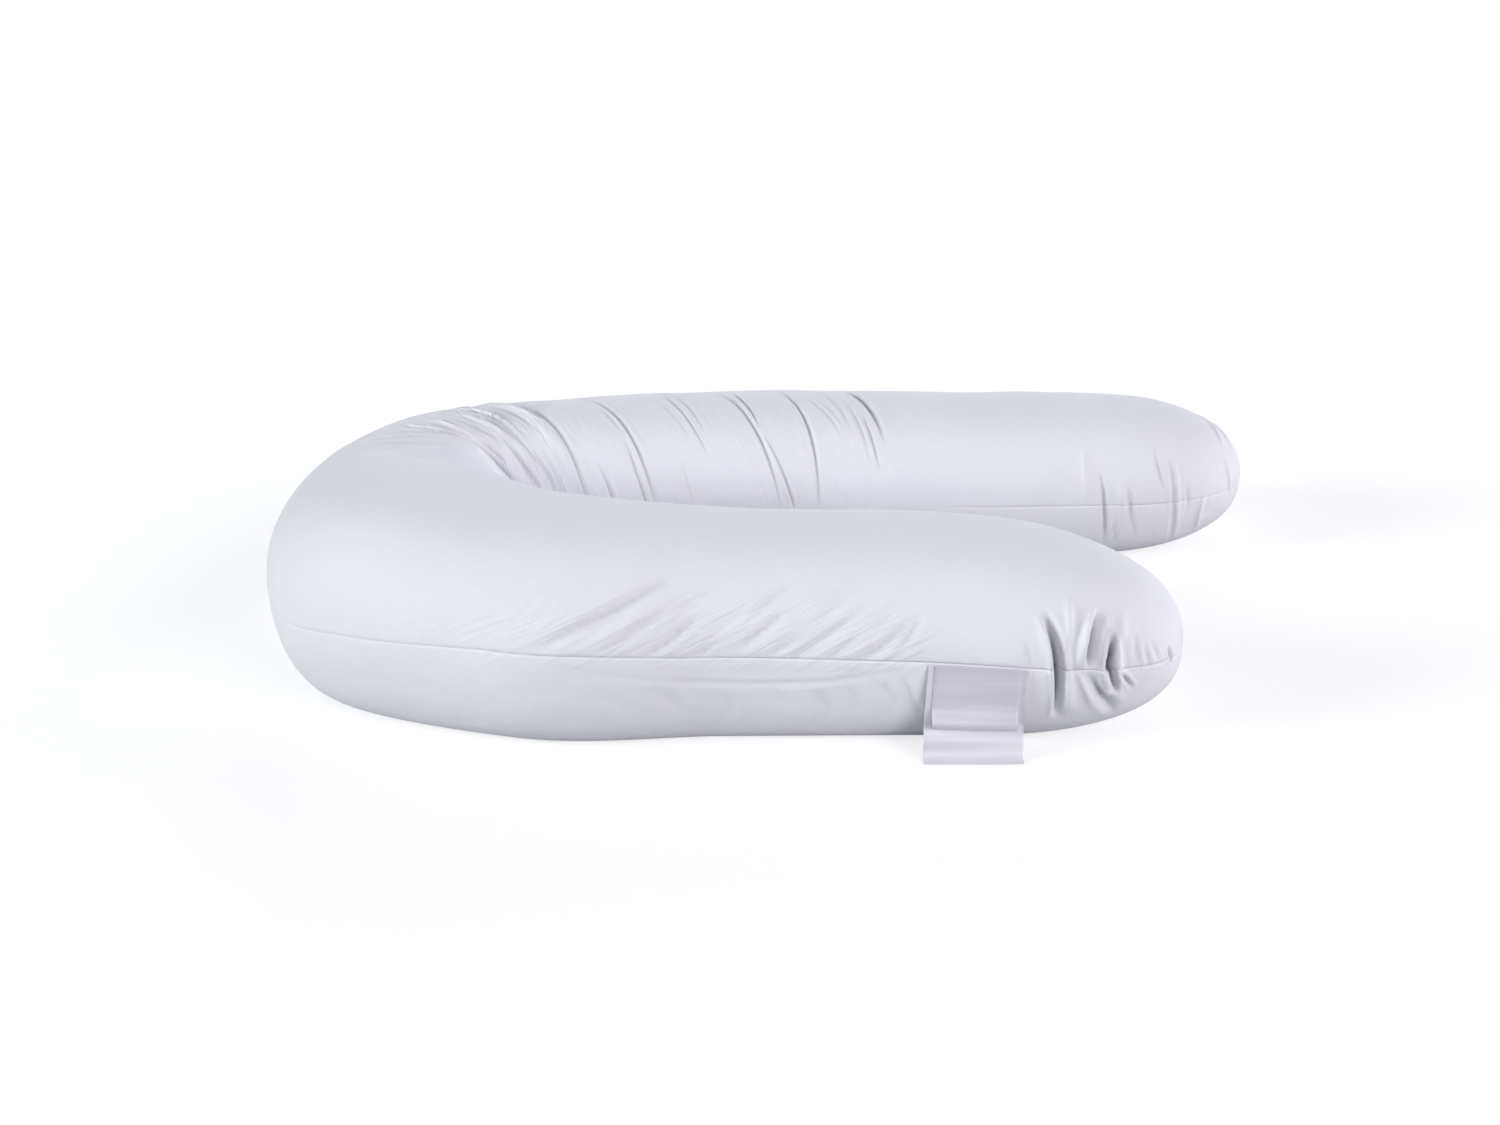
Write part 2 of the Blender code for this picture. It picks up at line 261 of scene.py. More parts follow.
# %% Long folds on the inner side
FAR_FOLDS = [
    [1.464, 0.90, 1.511, 1.37, 1.546, 2.02, 1.6, 3.9, 2.9, 0.37, 0.55],
    [1.447, 0.92, 1.490, 1.32, 1.522, 1.80, 8, 7, -2.6, 0, 0.45],
    [1.453, 1.48, 1.474, 1.72, 1.491, 1.94, 1.6, 2.7, 1.9, 0.24, 0.60],
    [1.472, 1.50, 1.487, 1.70, 1.500, 1.93, 1.6, 2.4, 1.2, 0.13, 0.60],
    [1.568, 1.62, 1.582, 1.80, 1.596, 2.01, 1.6, 2.7, 2, 0.31, 0.70],
    [1.616, 1.46, 1.630, 1.73, 1.647, 2.04, 1.6, 2.7, 2.5, 0.34, 0.75],
    [1.563, 0.89, 1.617, 1.33, 1.658, 2.02, 1.6, 3.6, 2.8, 0.37, 0.60],
    [1.584, 1.10, 1.600, 1.26, 1.616, 1.40, 1.6, 1.8, 1.4, 0.13],
    [1.681, 0.93, 1.707, 1.24, 1.737, 1.64, 1.8, 2.4, 2, 0.24, 0.45],
    [1.696, 0.93, 1.714, 1.14, 1.732, 1.40, 1.8, 2.4, 1.6, 0.16],
    [1.668, 1.00, 1.692, 1.25, 1.716, 1.50, 1.8, 1.8, 0.9, 0.07],
    [1.697, 1.68, 1.704, 1.82, 1.710, 1.98, 1.6, 2.4, 1, 0.10, 0.60],
    [1.760, 0.88, 1.804, 1.40, 1.835, 2.04, 1.6, 3.3, 3, 0.37, 0.55],
    [1.783, 0.91, 1.799, 1.13, 1.812, 1.40, 1.6, 2.1, 2.5, 0.44, 0.40],
    [1.771, 0.95, 1.788, 1.13, 1.800, 1.32, 1.6, 1.8, 1.4, 0.16],
    [1.817, 1.48, 1.829, 1.62, 1.838, 1.80, 1.6, 1.8, 1.5, 0.31],
    [1.853, 0.91, 1.881, 1.36, 1.892, 2.06, 1.6, 3.3, 3.1, 0.44, 0.55],
    [1.830, 1.64, 1.844, 1.85, 1.856, 2.06, 1.6, 2.7, 2.8, 0.37, 0.60],
    [1.883, 1.00, 1.910, 1.23, 1.931, 1.50, 2.4, 3, 1.6, 0.10, 0.45],
    [1.898, 1.02, 1.920, 1.22, 1.938, 1.44, 2, 2.4, 1.2, 0.07],
    [1.916, 0.95, 1.931, 1.16, 1.945, 1.42, 2.4, 3, 1.6, 0.10],
    [1.954, 0.89, 1.974, 1.15, 1.991, 1.53, 2.4, 4.8, 4.6, 0.44],
    [1.941, 1.06, 1.957, 1.36, 1.970, 1.72, 1.9, 2.4, 1.5, 0.13, 0.45],
    [1.966, 1.30, 1.974, 1.52, 1.981, 1.76, 1.6, 2.4, 2, 0.34, 0.45],
]
print("far arm", len(FAR_FOLDS), "folds")

# %% [markdown]
# The fan over the bend
#
# Where the case turns, its inner side is too long for the short way round. The cloth above the
# cusp lies in a fan of long shallow folds that run back over the crown, and the last of them folds
# under itself like a hem. The front of the bend is smooth but for a few faint lines.

# %% Fan of the bend
FAN = [
    [1.440, 0.73, 1.466, 1.00, 1.500, 1.26, 2.2, 4, 3.4, 0.23],
    [1.424, 0.78, 1.445, 1.02, 1.480, 1.36, 1.7, 2.5, 2, 0.16],
    [1.408, 0.78, 1.424, 1.06, 1.457, 1.44, 2.1, 3.4, 3.1, 0.26],
    [1.390, 0.82, 1.412, 1.07, 1.446, 1.44, 1.7, 2.5, 2, 0.16],
    [1.371, 0.84, 1.402, 1.12, 1.437, 1.48, 2.1, 3.4, 3.2, 0.26],
    [1.356, 0.98, 1.372, 1.22, 1.403, 1.45, 2, 2.8, 2.4, 0.19],
    [1.336, 0.88, 1.344, 1.13, 1.356, 1.36, 2, 2.8, 2.2, 0.19],
    [1.318, 1.00, 1.326, 1.20, 1.340, 1.38, 1.8, 2.5, 1.5, 0.13],
    [1.287, 0.94, 1.308, 1.24, 1.348, 1.48, 2.1, 3.4, 2.7, 0.23, 0.55],
    [1.421, 1.18, 1.439, 1.43, 1.466, 1.68, 1.8, 2.8, 2.4, 0.23],
    [1.418, 1.48, 1.438, 1.70, 1.465, 1.88, 1.8, 2.5, 2.2, 0.23, 0.55],
    [1.408, 1.38, 1.423, 1.60, 1.446, 1.84, 2.1, 2.8, 3, 0.30],
    [1.337, 1.36, 1.367, 1.60, 1.409, 1.84, 1.8, 5, 5.4, 0.49, 0.55],
    [1.352, 1.36, 1.372, 1.50, 1.392, 1.62, 1.7, 2.5, 2.7, 0.26],
    [1.223, 0.84, 1.243, 1.00, 1.264, 1.14, 1.9, 2.5, 1.6, 0.13],
    [1.148, 1.08, 1.168, 1.20, 1.187, 1.32, 1.9, 2.2, 1.4, 0.06],
    [1.262, 0.92, 1.280, 1.08, 1.306, 1.26, 2, 3, 1.8, 0.14],
    [1.196, 0.98, 1.220, 1.14, 1.252, 1.30, 2, 3, 1.6, 0.12],
    [1.170, 0.94, 1.188, 1.06, 1.210, 1.18, 2, 3, 1.4, 0.10],
    [1.112, 1.12, 1.134, 1.22, 1.160, 1.32, 2, 3, 1.4, 0.09],
    [1.070, 1.18, 1.092, 1.25, 1.118, 1.33, 2, 3, 1.3, 0.07],
    [1.434, 0.76, 1.457, 1.00, 1.489, 1.24, 3.2, 3.2, -4.6],
    [1.399, 0.80, 1.417, 1.05, 1.449, 1.32, 3.2, 3.2, -4.6],
    [1.363, 0.86, 1.386, 1.10, 1.420, 1.36, 3.2, 3.2, -4.6],
    [1.325, 0.92, 1.336, 1.14, 1.350, 1.34, 3.2, 3.2, -4.6],
    [1.290, 0.86, 1.300, 1.06, 1.318, 1.30, 3.2, 3.2, -3.6],
    [1.236, 0.86, 1.256, 1.02, 1.280, 1.18, 3.2, 3.2, -3.6],
    [1.180, 0.84, 1.200, 0.98, 1.222, 1.12, 3.2, 3.2, -3.6],
    [0.882, 1.10, 0.906, 1.00, 0.932, 0.85, 3.8, 3.1, 0.9],
]
print("bend", len(FAN), "folds")

# %% [markdown]
# The far tip
#
# It is gathered like the near one, but less, and it is seen from its inner side: two thin long
# puckers, a wide one, a few short ones, and soft rolls over its very end.

# %% Puckers and rolls of the far tip
FAR_TIP = [
    [2.305, 1.76, 2.313, 2.08, 2.319, 2.44, 1.8, 3.2, 5, 0.28, 0.55],
    [2.285, 1.54, 2.283, 1.78, 2.289, 2.02, 4, 4, -2.2],
    [2.328, 2.18, 2.332, 2.32, 2.338, 2.46, 2, 2.6, 1.8, 0.12],
    [2.347, 1.88, 2.353, 2.12, 2.367, 2.42, 2.2, 3.2, 3.4, 0.13, 0.45],
    [2.337, 1.84, 2.340, 1.98, 2.345, 2.12, 4, 3, -3],
    [2.391, 1.58, 2.394, 1.76, 2.404, 1.92, 2, 2.6, 2.4, 0.13],
    [2.411, 1.66, 2.419, 2.05, 2.427, 2.72, 2.8, 3.8, 3.2, 0.07, 0.42],
    [2.418, 1.62, 2.425, 1.98, 2.434, 2.66, 2.6, 2.6, -2.6, 0, 0.45],
    [2.473, 1.98, 2.467, 2.25, 2.470, 2.58, 4, 4, -3.6],
    [2.499, 0.88, 2.507, 1.20, 2.512, 1.50, 3.5, 3.5, -3],
    [2.512, 0.90, 2.525, 1.18, 2.533, 1.52, 3.5, 3.5, -3],
    [2.512, 1.58, 2.517, 1.85, 2.528, 2.16, 3, 3, -2.8],
    [2.440, 1.90, 2.443, 2.02, 2.448, 2.16, 2.2, 3, 1.8, 0.12],
]
print("far tip", len(FAR_TIP), "creases")

# %% [markdown]
# The slanting folds of the near arm
#
# Between the labels and the bend the upper panel is pulled along its seam, so soft folds rise from
# the seam at a slant, one beside the other. The longest is nearest to the bend. Below the seam, the
# edge of the seam allowance inside the case shows through as one long shallow arc.

# %% Slanting folds and the seam allowance
NEAR_ARM = [
    [0.748, 0.06, 0.672, 0.28, 0.606, 0.48, 8, 3.8, 5.8, 0.14, 0.52],
    [0.762, 0.14, 0.748, 0.22, 0.735, 0.31, 5, 3, 2.2, 0.03],
    [0.770, 0.22, 0.757, 0.29, 0.745, 0.37, 5, 3, 2, 0.03],
    [0.724, 0.05, 0.700, 0.12, 0.676, 0.20, 5, 3, 1.8, 0.03],
    [0.702, 0.12, 0.676, 0.20, 0.650, 0.29, 6, 3, 2.5, 0.04],
    [0.676, 0.07, 0.645, 0.17, 0.614, 0.28, 5.5, 3, 2.7, 0.06],
    [0.634, 0.01, 0.605, 0.12, 0.578, 0.26, 5.1, 2.7, 2.9, 0.07, 0.55],
    [0.605, 0.24, 0.585, 0.32, 0.560, 0.41, 6, 3.4, 1.9, 0.03],
    [0.584, 0.00, 0.571, 0.04, 0.559, 0.09, 4, 2.6, 1.8, 0.04],
    [0.566, 0.14, 0.547, 0.21, 0.527, 0.29, 5, 3, 1.8, 0.03],
    [0.528, 0.21, 0.498, 0.35, 0.462, 0.49, 6, 3, 2.7, 0.06],
    [0.539, 0.03, 0.508, 0.17, 0.479, 0.29, 5.5, 3, 2.9, 0.07, 0.45],
    [0.500, 0.02, 0.482, 0.08, 0.462, 0.15, 5, 3, 2, 0.04],
    [0.479, 0.00, 0.436, 0.14, 0.394, 0.32, 6.4, 3.2, 3, 0.07, 0.45],
    [0.452, 0.20, 0.428, 0.31, 0.402, 0.41, 6, 3.8, 2, 0.03],
    [0.400, 0.00, 0.372, 0.08, 0.338, 0.26, 5.5, 3, 2.9, 0.07, 0.40],
    [0.384, 0.16, 0.370, 0.23, 0.354, 0.31, 5, 3, 1.5, 0.02],
    [0.354, 0.05, 0.341, 0.15, 0.328, 0.27, 5, 2.7, 2.3, 0.07],
    [0.432, 0.01, 0.418, 0.06, 0.402, 0.12, 4.5, 2.7, 2, 0.06, 0.45],
    [0.765, -0.02, 0.530, -0.18, 0.340, -0.05, 4, 3, 1.1, 0, 0.60],
    [0.326, -0.40, 0.338, -0.25, 0.349, -0.10, 4, 4, 2.3, 0.07],
    [0.352, -0.36, 0.360, -0.26, 0.372, -0.16, 5, 5, 2.8, 0.03],
    [0.700, -0.22, 0.672, -0.31, 0.650, -0.42, 7, 7, 1.8],
    [0.640, -0.20, 0.612, -0.31, 0.600, -0.45, 6, 8, 2],
    [0.560, -0.26, 0.545, -0.36, 0.552, -0.47, 7, 7, 2],
    [0.500, -0.22, 0.486, -0.32, 0.470, -0.41, 6, 6, 1.8],
    [0.452, -0.24, 0.436, -0.34, 0.430, -0.47, 6, 7, 2.4, 0.03],
    [0.410, -0.18, 0.400, -0.30, 0.388, -0.43, 5, 6, 1.5, 0.02],
    [0.384, -0.12, 0.376, -0.20, 0.366, -0.30, 4, 5, 1.5, 0.02],
]
print("near arm", len(NEAR_ARM), "folds")

# %% [markdown]
# The sides that the photograph does not show
#
# A part is seen from all sides, so the hidden ones are creased too. They are guessed from those that
# show: both tips pucker over the hidden seam as well, slanting folds rise from the outer seam of the
# far arm, and broad soft ones from the inner seam of the near arm and inside the bend.

# %% Folds out of sight
HIDDEN = [
    [0.178, 1.70, 0.172, 2.00, 0.168, 2.34, 4, 6, 8, 0.40],
    [0.140, 1.76, 0.146, 1.98, 0.143, 2.20, 3.5, 6, 6, 0.35],
    [0.112, 1.62, 0.106, 1.94, 0.104, 2.30, 3.5, 5.5, 8, 0.45],
    [0.078, 1.78, 0.074, 2.02, 0.072, 2.26, 3, 4, 4, 0.25],
    [0.124, 1.74, 0.126, 1.98, 0.122, 2.22, 5, 5, -3.5],
    [0.210, 1.82, 0.206, 1.98, 0.204, 2.16, 3.5, 5, 3, 0.15],
    [2.372, 0.34, 2.384, 0.04, 2.390, -0.30, 4, 6, 7, 0.35],
    [2.416, 0.26, 2.414, 0.02, 2.420, -0.22, 3.5, 5, 5, 0.30],
    [2.448, 0.36, 2.456, 0.06, 2.460, -0.24, 3.5, 5.5, 7, 0.40],
    [2.482, 0.22, 2.486, 0.02, 2.492, -0.20, 3, 4, 4, 0.22],
    [2.436, 0.28, 2.436, 0.04, 2.440, -0.20, 5, 5, -3.5],
    [2.340, 0.22, 2.346, 0.04, 2.350, -0.14, 3.5, 5, 3, 0.15],
    [0.048, 1.60, 0.041, 1.98, 0.045, 2.38, 3, 5, 5, 0.24],
    [0.023, 1.64, 0.019, 2.00, 0.022, 2.36, 3, 4.5, 4, 0.20],
    [0.058, 1.76, 0.055, 1.98, 0.056, 2.20, 4.5, 4.5, -3],
    [0.007, 1.56, 0.005, 2.00, 0.007, 2.44, 3, 4, 3, 0.16],
    [2.508, 0.34, 2.514, 0.02, 2.510, -0.32, 3, 5, 5, 0.24],
    [2.530, 0.30, 2.533, 0.00, 2.531, -0.34, 3, 4.5, 4, 0.20],
    [1.236, 0.06, 1.262, 0.22, 1.300, 0.40, 6, 8, 3, 0.02],
    [1.330, 0.02, 1.352, 0.16, 1.386, 0.34, 4, 6, 3.6, 0.06, 0.45],
    [1.392, 0.04, 1.418, 0.15, 1.446, 0.27, 4, 6, 3, 0.05],
    [1.500, 0.04, 1.560, 0.24, 1.632, 0.44, 4, 7, 5, 0.12],
    [1.548, 0.02, 1.590, 0.14, 1.640, 0.27, 3, 5, 3.4, 0.08],
    [1.602, 0.05, 1.650, 0.18, 1.694, 0.36, 3, 6, 4, 0.10],
    [1.660, 0.00, 1.686, 0.08, 1.716, 0.17, 3, 5, 2.8, 0.06],
    [1.694, 0.10, 1.742, 0.24, 1.780, 0.41, 3, 6, 3.8, 0.08],
    [1.748, 0.02, 1.786, 0.15, 1.826, 0.26, 3, 5, 3.4, 0.08, 0.45],
    [1.806, 0.16, 1.846, 0.28, 1.898, 0.43, 3.4, 6, 3, 0.05],
    [1.838, 0.01, 1.872, 0.12, 1.918, 0.24, 3, 5.5, 3.6, 0.08, 0.45],
    [1.916, 0.03, 1.944, 0.13, 1.980, 0.30, 3, 5, 2.8, 0.05],
    [1.540, -0.16, 1.590, -0.30, 1.616, -0.46, 9, 12, 1.8],
    [1.690, -0.14, 1.716, -0.28, 1.750, -0.44, 9, 12, 1.8],
    [1.850, -0.16, 1.880, -0.30, 1.890, -0.46, 9, 12, 1.8],
    [0.700, 1.98, 0.668, 1.82, 0.622, 1.62, 6, 9, 4.6, 0.08],
    [0.640, 2.00, 0.616, 1.88, 0.584, 1.74, 5.5, 8, 3.4, 0.06],
    [0.566, 1.96, 0.548, 1.80, 0.512, 1.60, 6, 9, 4, 0.06],
    [0.508, 2.02, 0.492, 1.92, 0.466, 1.82, 5.5, 8, 2.8, 0.04],
    [0.456, 1.97, 0.428, 1.80, 0.400, 1.66, 6, 9, 3.6, 0.06],
    [0.380, 2.00, 0.364, 1.88, 0.338, 1.72, 5.5, 8, 3, 0.05],
    [0.770, 2.00, 0.762, 1.80, 0.740, 1.58, 7, 9, 4.4, 0.08, 0.45],
    [0.836, 2.02, 0.838, 1.82, 0.828, 1.60, 8, 9, 4.6, 0.08, 0.45],
    [0.900, 2.02, 0.908, 1.84, 0.902, 1.66, 8, 9, 4, 0.06, 0.45],
    [0.966, 2.02, 0.972, 1.88, 0.968, 1.74, 8, 9, 3.4, 0.05, 0.45],
]
print("out of sight", len(HIDDEN), "folds")

# %% [markdown]
# A net fine enough for creases
#
# The sharpest creases are only a few millimetres wide, so the net of the case needs rings 2 to 3 mm
# apart where they lie. Elsewhere wider rings save triangles. They close up towards the tips, where
# the section shrinks quickly.

# %% Rings of the net
RING_STEPS = [
    # from station, to station, spacing
    [0.270, 0.330, 0.0035],
    [0.330, 0.790, 0.0045],
    [0.790, 1.140, 0.0140],
    [1.140, 1.280, 0.0050],
    [1.280, 1.440, 0.0030],
    [1.440, 1.980, 0.0020],
    [1.980, 2.260, 0.0090],
    [2.260, 2.318, 0.0026],
]
NEAR_RINGS = 152
FAR_RINGS = 116
near = NEAR_CAP * (1 - np.cos(np.pi / 2 * np.linspace(0, 1, NEAR_RINGS)))[1:-1]
far = TOTAL - FAR_CAP * (1 - np.cos(np.pi / 2 * np.linspace(0, 1, FAR_RINGS)))[1:]
parts = [near, far]
for start, end, step in RING_STEPS:
    parts.append(np.linspace(start, end, round((end - start) / step), endpoint=False))
rings = np.sort(np.concatenate(parts))
print("rings", len(rings))

# %% [markdown]
# Lines round the arm
#
# The lines of the net run along the arm, each at one hoop position. They are even over the crown,
# few on the hidden foot, and close together beside both seams.

# %% Lines of the net
HOOP_SPANS = [
    # from hoop position, to hoop position, lines: crown, foot, under side, just under the seam
    [0.050, 1.950, 60],
    [2.060, 3.420, 14],
    [3.500, 3.755, 7],
    [3.785, 3.952, 11],
]
BESIDE_SEAM = [0.003, 0.0065, 0.011, 0.017, 0.025, 0.036]
OUTER_SEAM = 0.0
INNER_SEAM = 2.04
parts = [np.linspace(*span) for span in HOOP_SPANS]
for at in (OUTER_SEAM, INNER_SEAM):
    parts.append([at])
    for k in BESIDE_SEAM:
        parts.append([at + k, (at - k) % 4])
hoops = np.sort(np.concatenate(parts))
lap = np.where(hoops > 3, hoops - 4, hoops)
print("lines", len(hoops), "triangles", 2 * len(rings) * len(hoops))

# %% [markdown]
# A net that follows the cloth
#
# On the far arm the cloth is drawn along the arm as it comes down its inner side. The rings follow
# it, so that net lines run beside the creases and not across them. Then, wherever a net line crosses
# a sharp crease, the nearest point of the line is slid onto it. That keeps the creases free of steps.
# The outer seam strays from the widest line of the case, and the net beside it goes with it.

# %% Net drawn along the folds
DRAWN = [
    # station, metres drawn along
    [1.30, 0.000], [1.46, 0.080], [1.55, 0.100], [1.74, 0.086],
    [1.84, 0.055], [1.95, 0.062], [2.15, 0.000],
]
SEAM_SHIFT = [
    # station, how far the outer seam lies above (or below) the widest line, in hoop positions
    [0.00, -0.020], [0.10, -0.030], [0.25, -0.020], [0.45, -0.010], [0.60, -0.008],
    [0.80, 0.030], [0.93, 0.018], [1.06, -0.028], [1.30, 0.000],
]
SHIFT_REACH = 0.3
DRAWN_FROM = 0.6
DRAWN_OVER = 1.4
DRAWN_POWER = 1.2
FOOT_END = 3.6
SLIDE_POINTS = 60


def between_stops(at, stops):
    """Values at some places from a table of places and values."""
    return np.interp(at, [stop[0] for stop in stops], [stop[1] for stop in stops])


def seam_hoop(s):
    """Hoop position of the outer seam on the plain case at stations s."""
    return between_stops(s, SEAM_SHIFT)


def drawn(v):
    """How far down its slant the cloth has come at hoop position v, 0 to 1."""
    down = np.clip((v - DRAWN_FROM) / DRAWN_OVER, 0, 1)**DRAWN_POWER
    return down * np.clip(FOOT_END - v, 0, 1)


def curve_places(row, count):
    """Stations and hoop positions of a smooth curve through the three places of a row."""
    t = np.linspace(0, 1, count)[:, None]
    a, b, c = np.array(row[0:2]), np.array(row[2:4]), np.array(row[4:6])
    way = 2 * (t - 0.5) * (t - 1) * a + 4 * t * (1 - t) * b + 2 * t * (t - 0.5) * c
    return way[:, 0], way[:, 1]


def slide_onto(row):
    """Slides the nearest point of each net line onto a crease, and its neighbours half as far."""
    cs, cv = curve_places(row, SLIDE_POINTS)
    order = np.argsort(cv)
    for j in np.flatnonzero((lap > cv.min()) & (lap < cv.max())):
        goal = np.interp(lap[j], cv[order], cs[order])
        i = int(np.argmin(np.abs(S[:, j] - goal)))
        S[i - 1:i + 2, j] += (goal - S[i, j]) * np.array([0.5, 1.0, 0.5])


base, V = np.meshgrid(rings, hoops, indexing="ij")
S = base + between_stops(base, DRAWN) * drawn(V)
for row in NEAR_TIP + FAN + FAR_FOLDS + FAR_TIP:
    slide_onto(row)
TURN = np.where(V > 3, V - 4, V)
PLACE = V + seam_hoop(S) * np.exp(-(TURN / SHIFT_REACH)**2)
PLAIN = plain_surface(S, PLACE)
NORMAL = outward(S, PLACE)
print("net of", S.shape, "points, slid by up to", round(np.abs(S - base).max(), 3), "m")

# %% [markdown]
# Pressing the creases in
#
# Each crease is deepest in one place and runs out at both ends, and the cloth stands up a little
# beside it. Distances are measured in space, so a width is a real one. Where two layers of cloth
# meet in the bottom of a fold, they pinch closer than any net can show, and almost no light comes out
# again. That shade is kept as a second number at each point, and the material paints it into the
# colour as dark painted shade.

# %% Pressing
# STANDS_UP is a share of the depth, and the painted shade is narrower than its crease
PRESS_POINTS = 48
FARTHEST = 4.0
STANDS_UP = 0.30
STANDS_AT = 2.1
STANDS_WIDE = 0.9
PAINTED_SHADE_NARROWER = 1.7
deep = np.zeros_like(S)
painted_fold_shade = np.zeros_like(S)


def nearest_on(line, side, points):
    """For each point its share along a line, and its distance from it, less than 0 on the right."""
    nearest = np.full(len(points), 1e9)
    t = np.zeros(len(points))
    d = np.zeros(len(points))
    for k in range(len(line) - 1):
        leg = line[k + 1] - line[k]
        share = np.clip((points - line[k]) @ leg / (leg @ leg), 0, 1)
        gap = points - line[k] - share[:, None] * leg
        far = np.linalg.norm(gap, axis=1)
        nearer = far < nearest
        nearest = np.where(nearer, far, nearest)
        t = np.where(nearer, (k + share) / (len(line) - 1), t)
        d = np.where(nearer, np.sign(gap @ side[k]) * far, d)
    return t, d


def press(row):
    """Adds one crease to the depths and its painted shade to the painted shade of the case."""
    right, left, depth = row[6:9]
    painted_shade = row[9] if len(row) > 9 else 0.0
    deepest = row[10] if len(row) > 10 else 0.5
    cs, cv = curve_places(row, PRESS_POINTS)
    line = plain_surface(cs, cv)
    side = np.cross(outward(cs, cv), np.gradient(line, axis=0))
    reach = FARTHEST * max(right, left) / 1000
    inside = ((PLAIN > line.min(0) - reach) & (PLAIN < line.max(0) + reach)).all(-1)
    t, d = nearest_on(line, side, PLAIN[inside])
    x = np.abs(d) * 1000 / np.where(d < 0, right, left)
    fade = np.minimum(np.clip(t / deepest, 0, 1), np.clip((1 - t) / (1 - deepest), 0, 1))
    fade = (fade * (2 - fade))**0.8
    if depth < 0:
        shape = np.exp(-x**2)
    else:
        bulge = np.exp(-((x - STANDS_AT) / STANDS_WIDE)**2)
        shape = np.exp(-x**1.3) - STANDS_UP * bulge
    deep[inside] += depth / 1000 * fade * shape
    # shade painted into the bottom of the crease, darkest where the crease is deepest
    painted_shade_here = painted_shade * fade * np.exp(-(PAINTED_SHADE_NARROWER * x)**1.5)
    painted_fold_shade[inside] = np.maximum(painted_fold_shade[inside], painted_shade_here)


for row in NEAR_TIP + FAN + FAR_FOLDS + FAR_TIP + NEAR_ARM + HIDDEN:
    press(row)
print("pressed in", round(deep.max() * 1000, 1), "mm, stands out", round(-deep.min() * 1000, 1), "mm")

# %% [markdown]
# Seams and a lumpy filling
#
# The seam is a line where both panels dive inwards to the thread. On the real case it is a thin
# dark line, and the cloth rolls over it on both sides. Here the whole band beside it is drawn in a
# little, and a narrow groove is cut at the thread itself, with dark shade painted where the two
# panels pinch. Slow waves along the band are the pull of the thread. Behind the near arm the far
# arm's filling rolls over its seam and hides it. Hollow fibre is never even either, so a few broad
# waves that are added together, all a hand wide or more, keep the smooth parts from looking like
# plastic.

# %% Seams
# bands are in hoop positions, depths in metres
SEAM_BAND = 0.045
SEAM_DEPTH = 0.0010
THREAD_BAND = 0.0085
THREAD_DEPTH = 0.0017
# how dark the shade painted at the thread is, and how wide a band it covers
SEAM_PAINTED_SHADE = 0.42
PAINTED_SHADE_BAND = 0.0055
PULL_AT = 0.035
PULL_BAND = 0.020
PULL_DEPTH = 0.0003
PULL_SHORT = 0.061
PULL_LONG = 0.093
TIP_FADE = 0.04
TIGHT = [
    # station, strength of the outer seam
    [0.30, 1.0], [0.40, 0.75], [0.70, 0.60], [0.90, 0.30],
    [1.15, 0.20], [1.30, 0.4], [1.45, 0.9],
]
ROLLED_OVER = [
    # station, strength of the inner seam
    [1.30, 0.6], [1.42, 0.0], [2.05, 0.0], [2.20, 0.5],
]


def seam(at, shows):
    """Depth and painted shade of the seam at one hoop position, where it shows."""
    away = np.abs(TURN - at)
    band = np.clip(1 - away / SEAM_BAND, 0, 1)
    thread = np.clip(1 - away / THREAD_BAND, 0, 1)
    pull = np.sin(2 * np.pi * S / PULL_SHORT) + 0.7 * np.sin(2 * np.pi * S / PULL_LONG + 1.3)
    edge = np.exp(-((away - PULL_AT) / PULL_BAND)**2)
    depth = SEAM_DEPTH * band**1.3 + THREAD_DEPTH * thread**0.7 + PULL_DEPTH * pull * edge
    # the second value is shade painted along the thread
    return shows * depth, shows * SEAM_PAINTED_SHADE * np.clip(1 - away / PAINTED_SHADE_BAND, 0, 1)


tip = np.clip(np.minimum(S, TOTAL - S) / TIP_FADE, 0, 1)
for at, stops in ((OUTER_SEAM, TIGHT), (INNER_SEAM, ROLLED_OVER)):
    depth, painted_shade = seam(at, tip * between_stops(S, stops))
    deep += depth
    painted_fold_shade = np.maximum(painted_fold_shade, painted_shade)
print("seam groove", round((SEAM_DEPTH + THREAD_DEPTH) * 1000, 1), "mm deep")

# %% Filling
SLOW_WAVE = 0.0011
QUICK_WAVE = 0.0006
FINE_WAVE = 0.0002
TABLE_CLEAR = 0.03


def filling(p):
    """Broad low waves in space, in metres."""
    x, y, z = p[..., 0], p[..., 1], p[..., 2]
    slow = np.sin(14 * x + 5 * y + 1.0) * np.cos(11 * y - 9 * z + 0.4)
    quick = np.sin(31 * x - 13 * z + 2.1) * np.cos(27 * y + 17 * z)
    fine = np.sin(63 * x + 21 * y + 0.7) * np.sin(58 * z - 33 * y + 1.9)
    return SLOW_WAVE * slow + QUICK_WAVE * quick + FINE_WAVE * fine


clear_of_table = np.clip(PLAIN[..., 2] / TABLE_CLEAR, 0, 1)
moved = PLAIN - NORMAL * ((deep + filling(PLAIN)) * clear_of_table)[..., None]
print("lowest point", round(moved[..., 2].min(), 4), "highest", round(moved[..., 2].max(), 4))

# %% [markdown]
# Where the cloth is gathered
#
# Between the folds, gathered cloth is never smooth: it has a grain of faint ridges that run with the
# folds. There are too many to write down, so the material draws them as shallow relief. Two numbers
# at each point tell it where: one for ridges that run round the arm, over the bend, down the far
# arm and at both tips, and one for the slanting ones above the outer seam of both arms.

